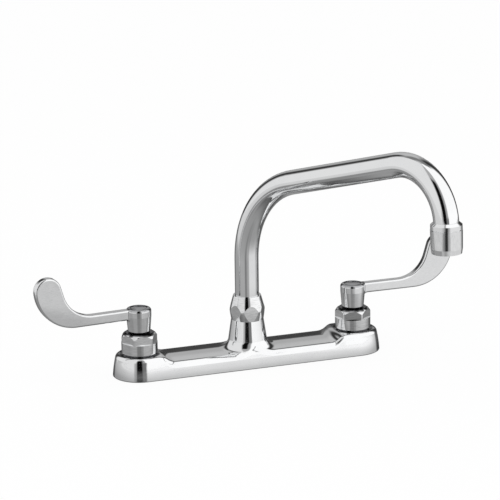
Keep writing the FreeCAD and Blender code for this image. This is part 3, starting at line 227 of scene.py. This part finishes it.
def cloth_material():
    material = bpy.data.materials.new("tent_cloth")
    shader = Shader(material)
    x, y, z = places(shader)
    compass = compass_angle(x, y)
    height = (z * (1 / TENT_RADIUS)).maths("ARCSINE") * math.degrees(1)
    level = CLOTH_LEVEL
    for grey, middle, half, low, high, soft in PANELS.values():
        mask = sector(compass, middle, half, soft) * band(height, low, high, soft)
        level = painted(level, mask, grey)
    glow = shader.node("Emission", inputs={"Color": level, "Strength": 1.0})
    shader.node("OutputMaterial", inputs={"Surface": glow})
    return material


def new_stage_object(name, mesh_maker, material):
    """A piece of the studio made by one bmesh operator."""
    mesh = bpy.data.meshes.new(name)
    shape = bmesh.new()
    mesh_maker(shape)
    shape.to_mesh(mesh)
    shape.free()
    thing = bpy.data.objects.new(name, mesh)
    bpy.context.scene.collection.objects.link(thing)
    mesh.materials.append(material)
    print(name, "has", len(mesh.polygons), "faces")
    return thing


tent = new_stage_object("tent", lambda shape: bmesh.ops.create_uvsphere(
    shape, u_segments=TENT_SEGMENTS, v_segments=TENT_SEGMENTS // 2, radius=TENT_RADIUS),
    cloth_material())
tent.visible_camera = False
tent.visible_diffuse = False
tent.visible_transmission = False
tent.visible_shadow = False

# %% [markdown]
# ## The table in the chrome
# The lens looks down at the faucet, so its upright walls mirror the table that it
# stands on. There the table is mid grey, with painted shade close to the body and behind
# it, darker on its left, and painted lighter towards the right wall. It ends in pale
# cloth on the left, and below the slit the dark floor of the room starts where the table
# ends. It is also a little glossy: at a flat angle it mirrors the tent, which a Fresnel
# node weighs. That makes the soft fade at the foot of the body's walls. One even grey
# would be simpler, but then every wall would have the same foot. A few painted patches tell them
# apart.

# %% What lies on the table
TABLE_GREY = 0.27
# grey level near the faucet, level farther out, compass angle, half width, softness
TABLE_PATCHES = {
    "behind the faucet": (0.17, 0.19, 120, 42, 20),
    "between the cards": (0.30, 0.34, 66, 8, 12),
    "in the shade of the near card": (0.13, 0.13, 20, 30, 20),
    "towards the right wall": (0.28, 0.64, -52, 40, 20),
    "beside the slit": (0.30, 0.46, -104, 7, 6),
    "left of the faucet": (0.19, 0.20, 171, 19, 12),
}
# where the first level turns into the second
PATCH_REACH = (0.13, 0.27)
# the table's left edge along X, and the level of the cloth past it
TABLE_END = (-0.41, -0.33)
BEYOND_TABLE = 0.6
# the dark floor before the table: level, compass sector, and where it starts
DARK_FLOOR = 0.04
DARK_SECTOR = (-101, 8, 7)
DARK_START = (0.45, 0.65)
# how much light is left at the body's foot, and how far its shade reaches
CLOSE_SHADE = 0.3
CLOSE_REACH = 0.055
print("the table has", len(TABLE_PATCHES), "patches")

# %% The table's level and shine
TABLE_INDEX = 1.65
TABLE_ROUGHNESS = 0.1


def bar_square(x, y, end):
    """The square of the distance from a line along X between -end and end."""
    past_end = (x.maths("ABSOLUTE") - end).maths("MAXIMUM", 0)
    return past_end * past_end + y * y


def close_shade(x, y):
    """The share of light that the body leaves on the table around it."""
    body_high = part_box("deck_body")[1]
    half_width = body_high.y
    away = bar_square(x, y, body_high.x - half_width).maths("SQRT") - half_width
    return CLOSE_SHADE + away.rise(0, CLOSE_REACH) * (1 - CLOSE_SHADE)


def table_in_chrome(shader):
    """What a glossy ray meets on the sheet: a grey table that shines at a flat angle."""
    x, y = places(shader)[:2]
    compass = compass_angle(x, y)
    reach = (x * x + y * y).maths("SQRT")
    far = reach.rise(*PATCH_REACH)
    level = TABLE_GREY
    for near_grey, far_grey, middle, half, soft in TABLE_PATCHES.values():
        level = painted(level, sector(compass, middle, half, soft),
                        near_grey + far * (far_grey - near_grey))
    level = painted(level, 1 - x.rise(*TABLE_END), BEYOND_TABLE)
    level = painted(level, sector(compass, *DARK_SECTOR) * reach.rise(*DARK_START), DARK_FLOOR)
    table = shader.node("Emission", inputs={"Color": level * close_shade(x, y), "Strength": 1.0})
    shine = shader.node("BsdfGlossy", inputs={"Color": (1, 1, 1, 1), "Roughness": TABLE_ROUGHNESS})
    flat = shader.node("Fresnel", inputs={"IOR": TABLE_INDEX})
    return shader.node("MixShader", inputs={0: flat, 1: table, 2: shine})


# %% [markdown]
# ## The sheet and one soft lamp
# The faucet stands on a pale sheet that runs into the white behind it. The sheet
# mixes a dull white, which catches the faucet's faint shadow, with plain white for
# the camera, so that no edge of it shows. One large soft lamp overhead adds the
# shadow. It is left out of the chrome, where the tent already stands for all light.

# %% Sheet
SHEET_HALF = 6.0
SHEET_DROP = 0.0002
SHEET_WHITE = 0.9
# how much of what the camera sees is plain white
SHEET_SHARE = 0.92
# fibres to the metre
FIBRES = 900
FIBRE_DEPTH = 0.0002
FIBRE_STRENGTH = 0.2


def sheet_material():
    material = bpy.data.materials.new("pale_sheet")
    shader = Shader(material)
    fibres = shader.node("TexNoise", inputs={"Vector": shader.node("TexCoord", output="Object"),
                                             "Scale": FIBRES, "Detail": 3})
    grain = shader.node("Bump", inputs={
        "Height": fibres, "Distance": FIBRE_DEPTH, "Strength": FIBRE_STRENGTH})
    dull = shader.node("BsdfDiffuse", inputs={
        "Color": (SHEET_WHITE, SHEET_WHITE, SHEET_WHITE, 1), "Normal": grain})
    white = shader.node("Emission", inputs={"Color": (1, 1, 1, 1), "Strength": 1.0})
    seen = shader.node("LightPath", output="Is Camera Ray")
    mixed = shader.node("MixShader", inputs={0: seen * SHEET_SHARE, 1: dull, 2: white})
    glossy = shader.node("LightPath", output="Is Glossy Ray")
    mirrored = shader.node("MixShader", inputs={0: glossy, 1: mixed, 2: table_in_chrome(shader)})
    shader.node("OutputMaterial", inputs={"Surface": mirrored})
    return material


new_stage_object("floor", lambda shape: bmesh.ops.create_grid(
    shape, x_segments=1, y_segments=1, size=SHEET_HALF,
    matrix=Matrix.Translation((0, 0, -SHEET_DROP))), sheet_material())

# %% Lamp
LAMP_PLACE = Vector((-0.5, -0.6, 1.6))
LAMP_SIZE = 1.2
LAMP_POWER = 4

lamp_data = bpy.data.lights.new("overhead_softbox", "AREA")
lamp_data.shape = "DISK"
lamp_data.size = LAMP_SIZE
lamp_data.energy = LAMP_POWER
lamp = bpy.data.objects.new("overhead_softbox", lamp_data)
bpy.context.scene.collection.objects.link(lamp)
lamp.location = LAMP_PLACE
lamp.rotation_euler = (LAMP_PLACE - AIM).to_track_quat("Z", "Y").to_euler()
lamp.visible_glossy = False
print("the lamp gives", LAMP_POWER, "W from", LAMP_SIZE, "m across")


# %% [markdown]
# ## Tools for every finish
# All finishes share four small tools. Patterns sit on Object coordinates, which move
# with a piece when its joint turns. Coordinates that are stretched make a pattern run
# one way, as turning lines do. Every finish ends in the same Principled surface,
# because the closing export can bake that one.

# %% Patterns and colours
def object_place(shader, stretch=(1, 1, 1)):
    """Object coordinates, stretched so that a pattern can run one way."""
    place = shader.node("TexCoord", output="Object")
    return shader.node("Mapping", inputs={"Vector": place, "Scale": stretch})


def noise(shader, place, scale, detail, roughness=0.5):
    """Clouds with scale features to the metre."""
    return shader.node("TexNoise", inputs={
        "Vector": place, "Scale": scale, "Detail": detail, "Roughness": roughness})


def blend_colours(shader, share, first, second):
    """The first colour where share is 0, the second where it is 1."""
    return shader.node("Mix", {"data_type": "RGBA"}, {0: share, 6: first, 7: second}, output=2)


def finish_surface(shader, inputs):
    """The end of every finish: one Principled surface."""
    surface = shader.node("BsdfPrincipled", inputs=inputs)
    shader.node("OutputMaterial", inputs={"Surface": surface})


# %% [markdown]
# ## Arched tops and domed hubs
# On the real faucet the tops of the saddles and bosses arch a little, and each hub
# ends in a shallow dome. That decides what the polished tops mirror: their backs
# turn dark, their fronts bright. The best way would be to model both. The packed
# solids are fixed and flat there, so a Bump node takes its height from a formula
# instead. It turns the mirror image as an arch would, while the outline stays flat.
# The height of a point decides where the arch acts, which keeps it off the walls
# and the riser.

# %% The arch
# half of the spacing of the valves
VALVE_AXIS = 0.1016
# the arch's radius, and how far from the body's middle line it is level again
CROWN_RADIUS = 0.045
CROWN_REACH = 0.026
# heights over which the arch comes in above the walls and fades out up the riser
CROWN_START = (0.0095, 0.0138)
CROWN_END = (0.0204, 0.0235)
# where the bosses start along X, how much more they arch, and how much higher they are
BOSS_START = (0.082, 0.092)
BOSS_EXTRA = 0.7
BOSS_STEP = 0.005


def crown(shader):
    """The low arch across the tops of the cast body, which is level again at CROWN_REACH."""
    x, y, z = places(shader)
    square = bar_square(x, y, VALVE_AXIS)
    fall = square * (square * (0.5 / CROWN_REACH ** 2) - 1) * (0.5 / CROWN_RADIUS)
    on_boss = x.maths("ABSOLUTE").rise(*BOSS_START)
    above_walls = (z - on_boss * BOSS_STEP).rise(*CROWN_START)
    return shader.node("Bump", inputs={
        "Height": fall, "Distance": 1.0,
        "Strength": (1 - z.rise(*CROWN_END)) * above_walls * (1 + on_boss * BOSS_EXTRA)})


print("the arch has a radius of", CROWN_RADIUS, "m")

# %% The dome
DOME_RADIUS = 0.025
# how far from the axis and from what height the hub's top counts
DOME_EDGE = (0.0108, 0.0118)
DOME_START = (0.0596, 0.0612)


def valve_square(shader):
    """The square of the distance from the nearer valve's axis."""
    x, y = places(shader)[:2]
    aside = x.maths("ABSOLUTE") - VALVE_AXIS
    return aside * aside + y * y


def near_valve(shader, low, high):
    """1 nearer than low to a valve's axis, 0 farther than high."""
    return 1 - valve_square(shader).rise(low ** 2, high ** 2)


def hub_top(shader):
    """1 on top of a handle's hub, 0 on the rest of the handle."""
    return near_valve(shader, *DOME_EDGE) * places(shader)[2].rise(*DOME_START)


def dome(shader):
    """The shallow dome on top of each handle's hub."""
    return shader.node("Bump", inputs={"Height": valve_square(shader) * (-0.5 / DOME_RADIUS),
                                       "Distance": 1.0, "Strength": hub_top(shader)})


print("the dome has a radius of", DOME_RADIUS, "m")

# %% [markdown]
# ## Three darker places
# A painted shade runs round the foot of each valve's nut, where nut and body mirror
# each other. The narrow groove between nut and handle lies in shade, which is painted
# too. The hubs' tops get a painted darker reflection. The tent alone leaves these
# places too light. Smaller lamps would darken the gaps, but they would also show as
# spots in all the chrome. So each place is a mask from the distance to the valve's
# axis and the height, and darkens the plate's colour there as painted shade.

# %% Painted shade and a darker reflection on the plate
# distances from the valve's axis, then heights, then the colour
# painted shade round the foot of each valve's nut
FOOT_LINE = (0.0173, 0.0194)
BOSS_TOP = (0.0190, 0.0197)
FOOT_PAINTED_SHADE = (0.09, 0.09, 0.095, 1)
# painted shade in the groove between nut and handle
GROOVE_EDGE = (0.0128, 0.0142)
GROOVE_START = (0.0385, 0.0396)
GROOVE_PAINTED_SHADE = (0.06, 0.06, 0.065, 1)
# a painted darker reflection on the hubs' tops
HUB_TOP_PAINTED_DARKER = (0.5, 0.505, 0.515, 1)


def foot_line(shader):
    """The painted shade on the body around the foot of each valve's nut."""
    return near_valve(shader, *FOOT_LINE) * places(shader)[2].rise(*BOSS_TOP)


def groove(shader):
    """1 on a nut's top, in the groove below the handle, where a painted shade goes."""
    return near_valve(shader, *GROOVE_EDGE) * places(shader)[2].rise(*GROOVE_START)


print("the line around a nut's foot is dark out to", FOOT_LINE[0], "m")

# %% [markdown]
# ## Chrome
# Plated chrome is a mirror with a faint cool tint. What makes it look real is that
# it isn't a perfect mirror: a casting is linished by hand and keeps shallow waves a
# few millimetres long, and a turned nut keeps rings. Those go into the normal
# through a bump, and a cloudy mask varies the roughness as wiped metal does. One
# function makes every chrome, so that they stay alike, and each piece gets its own
# length, depth and direction of the waves. Rough noise in the roughness alone would
# be simpler, but it only blurs the mirror image, where waves bend it.

# %% A chrome finish
CHROME = (0.93, 0.935, 0.94, 1)
CHROME_DARK = (0.86, 0.868, 0.88, 1)
# wipe marks to the metre, which part of their noise counts, and what it adds
WIPE_MARKS = 55
WIPED = (0.42, 0.68)
WIPED_TINT = 0.35
WIPED_ROUGHER = 0.035
# hairlines, against the waves of the same piece
HAIRLINES_FINER = 9
HAIRLINES_SHALLOWER = 120
HAIRLINES_ROUGHER = 0.02
# which hairlines show as dark turning streaks
STREAKED = (0.4, 0.66)
STREAK_DARK = (0.5, 0.505, 0.51, 1)


def chrome(name, wave_length, wave_depth, roughness, stretch=(1, 1, 1), streaks=0, relief=None,
           shade=None, shade_colour=None):
    """Polished plate: waves a wave_length long and wave_depth deep, in metres."""
    material = bpy.data.materials.new(name)
    shader = Shader(material)
    waves = noise(shader, object_place(shader, stretch), 1 / wave_length, detail=1.5)
    wiped = noise(shader, object_place(shader), WIPE_MARKS, detail=4).rise(*WIPED)
    finer = object_place(shader, [part * HAIRLINES_FINER for part in stretch])
    hairlines = noise(shader, finer, 1 / wave_length, detail=5, roughness=0.7)
    inputs = {"Height": waves, "Distance": wave_depth}
    if relief:
        inputs["Normal"] = relief(shader)
    soft = shader.node("Bump", inputs=inputs)
    fine = shader.node("Bump", inputs={
        "Height": hairlines, "Distance": wave_depth / HAIRLINES_SHALLOWER, "Normal": soft})
    colour = blend_colours(shader, wiped * WIPED_TINT, CHROME, CHROME_DARK)
    if streaks:
        colour = blend_colours(shader, hairlines.rise(*STREAKED) * streaks, colour, STREAK_DARK)
    if shade:
        colour = blend_colours(shader, shade(shader), colour, shade_colour)
    finish_surface(shader, {
        "Base Color": colour, "Metallic": 1.0, "Normal": fine,
        "Roughness": roughness + wiped * WIPED_ROUGHER + hairlines * HAIRLINES_ROUGHER})
    print("made", name)
    return material


# %% Body and spout
# the body's chrome carries the painted shade round each nut's foot
cast_chrome = chrome("cast_chrome", wave_length=0.016, wave_depth=0.00003, roughness=0.045,
                     relief=crown, shade=foot_line, shade_colour=FOOT_PAINTED_SHADE)
tube_chrome = chrome("tube_chrome", wave_length=0.02, wave_depth=0.00003, roughness=0.04)

# %% Nuts and aerator
turned_chrome = chrome("turned_chrome", wave_length=0.004, wave_depth=0.000006, roughness=0.05,
                       stretch=(1, 1, 0.1), streaks=0.35)
# the nuts carry the painted shade in the groove below each handle
nut_chrome = chrome("nut_chrome", wave_length=0.005, wave_depth=0.000006, roughness=0.05,
                    stretch=(0.1, 0.1, 1), streaks=0.5, shade=groove, shade_colour=GROOVE_PAINTED_SHADE)

# %% Handles and their caps
# the handles and caps carry a painted darker reflection on the hubs' tops
blade_chrome = chrome("blade_chrome", wave_length=0.01, wave_depth=0.00002, roughness=0.05,
                      stretch=(0.3, 0.3, 2), streaks=0.2, relief=dome, shade=hub_top,
                      shade_colour=HUB_TOP_PAINTED_DARKER)
cap_chrome = chrome("cap_chrome", wave_length=0.006, wave_depth=0.000008, roughness=0.05,
                    relief=dome, shade=hub_top, shade_colour=HUB_TOP_PAINTED_DARKER)

# %% [markdown]
# ## Bare brass and steel
# The valves' stems and the spout's end are brass from a lathe, and the screws, clips
# and screen are stainless steel. Fine rings run around them. At the height where the
# stems enter their nuts a painted shade darkens the metal, and it is rougher there.
# The rings are noise that is stretched sideways until only its changes along the
# height are left. A wave texture would be more regular than a real cut.

# %% Brass and steel
# heights between which the painted shade sits, and how soft its edges are
GAP_SHADE_HEIGHTS = (0.0360, 0.0445)
GAP_SHADE_EDGE = 0.0008
GAP_PAINTED_SHADE = (0.03, 0.027, 0.022, 1)
GAP_SHADE_ROUGHER = 0.15
# stains to the metre, and which part of their noise counts
STAINS = 90
STAINED = (0.4, 0.7)
STAINS_ROUGHER = 0.12
RING_STRETCH = (0.02, 0.02, 1)
RING_DEPTH = 0.00001
RINGS_ROUGHER = 0.05


def turned_metal(name, colour, stained, lines, roughness):
    """Bare metal from a lathe: fine rings around the piece, lines to the metre."""
    material = bpy.data.materials.new(name)
    shader = Shader(material)
    rings = noise(shader, object_place(shader, RING_STRETCH), lines, detail=4)
    worn = noise(shader, object_place(shader), STAINS, detail=5).rise(*STAINED)
    # painted shade, darker and rougher, at the height where the stems enter their nuts
    gap_shade = band(places(shader)[2], *GAP_SHADE_HEIGHTS, GAP_SHADE_EDGE)
    metal = blend_colours(shader, worn, colour, stained)
    rougher = worn * STAINS_ROUGHER + rings * RINGS_ROUGHER + gap_shade * GAP_SHADE_ROUGHER
    finish_surface(shader, {
        "Base Color": blend_colours(shader, gap_shade, metal, GAP_PAINTED_SHADE), "Metallic": 1.0,
        "Roughness": roughness + rougher,
        "Normal": shader.node("Bump", inputs={"Height": rings, "Distance": RING_DEPTH})})
    print("made", name)
    return material


turned_brass = turned_metal("turned_brass", colour=(0.72, 0.55, 0.28, 1),
                            stained=(0.55, 0.38, 0.18, 1), lines=2600, roughness=0.22)
stainless_steel = turned_metal("stainless_steel", colour=(0.62, 0.62, 0.62, 1),
                               stained=(0.48, 0.48, 0.5, 1), lines=3200, roughness=0.3)

# %% [markdown]
# ## Rubber, foam, fibre, plastic and ceramic
# Seals, washers and discs are mostly hidden, but they show when a piece is taken off.
# Each keeps the grain of how it was made: pores in foam, pressed fibres, mould
# texture on plastic, and an almost smooth lapped face on ceramic. They differ only
# in colour, grain and gloss, so one function and a table make them all.

# %% Moulded and pressed materials
CLOUDED = (0.35, 0.7)
GRAINS_TO_A_CLOUD = 14
GRAIN_ROUGHER = 0.15
# colour, its darker or paler patches, grains to the metre, grain depth, roughness
MOULDED = {
    "black_rubber": ((0.03, 0.03, 0.032, 1), (0.05, 0.05, 0.05, 1), 2500, 0.00002, 0.5),
    "gasket_foam": ((0.07, 0.07, 0.072, 1), (0.11, 0.11, 0.11, 1), 1400, 0.0002, 0.8),
    "fibre_washer": ((0.42, 0.12, 0.08, 1), (0.3, 0.07, 0.05, 1), 1800, 0.00006, 0.7),
    "acetal": ((0.82, 0.82, 0.79, 1), (0.75, 0.75, 0.72, 1), 2200, 0.00001, 0.35),
    "white_plastic": ((0.82, 0.83, 0.83, 1), (0.74, 0.76, 0.77, 1), 2200, 0.00001, 0.3),
    "ceramic": ((0.86, 0.84, 0.8, 1), (0.8, 0.78, 0.74, 1), 3000, 0.000004, 0.12),
}


def moulded(name, colour, patches, grain, depth, roughness):
    """A surface without metal: grain features to the metre, depth in metres."""
    material = bpy.data.materials.new(name)
    shader = Shader(material)
    texture = noise(shader, object_place(shader), grain, detail=4)
    clouds = noise(shader, object_place(shader), grain / GRAINS_TO_A_CLOUD, detail=3)
    finish_surface(shader, {
        "Base Color": blend_colours(shader, clouds.rise(*CLOUDED), colour, patches),
        "Roughness": roughness + texture * GRAIN_ROUGHER,
        "Normal": shader.node("Bump", inputs={"Height": texture, "Distance": depth})})
    print("made", name)
    return material


# %% [markdown]
# ## Dressing the faucet
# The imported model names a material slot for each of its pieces. A table from slot to
# finish dresses all of them in one loop, so a piece can't be forgotten.

# %% Give every node the finish of its slot
FINISHES = {
    "chromed_body": cast_chrome,
    "chromed_nut": nut_chrome,
    "chromed_tube": tube_chrome,
    "chromed_aerator": turned_chrome,
    "chromed_handle": blade_chrome,
    "chromed_cap": cap_chrome,
    "brass": turned_brass,
    "stainless": stainless_steel,
}
for name, look in MOULDED.items():
    FINISHES[name] = moulded(name, *look)
for row in frame["record"]["subparts"]:
    slots = nodes[row["node"]].data.materials
    slots.clear()
    slots.append(FINISHES[row["material_slot"]])
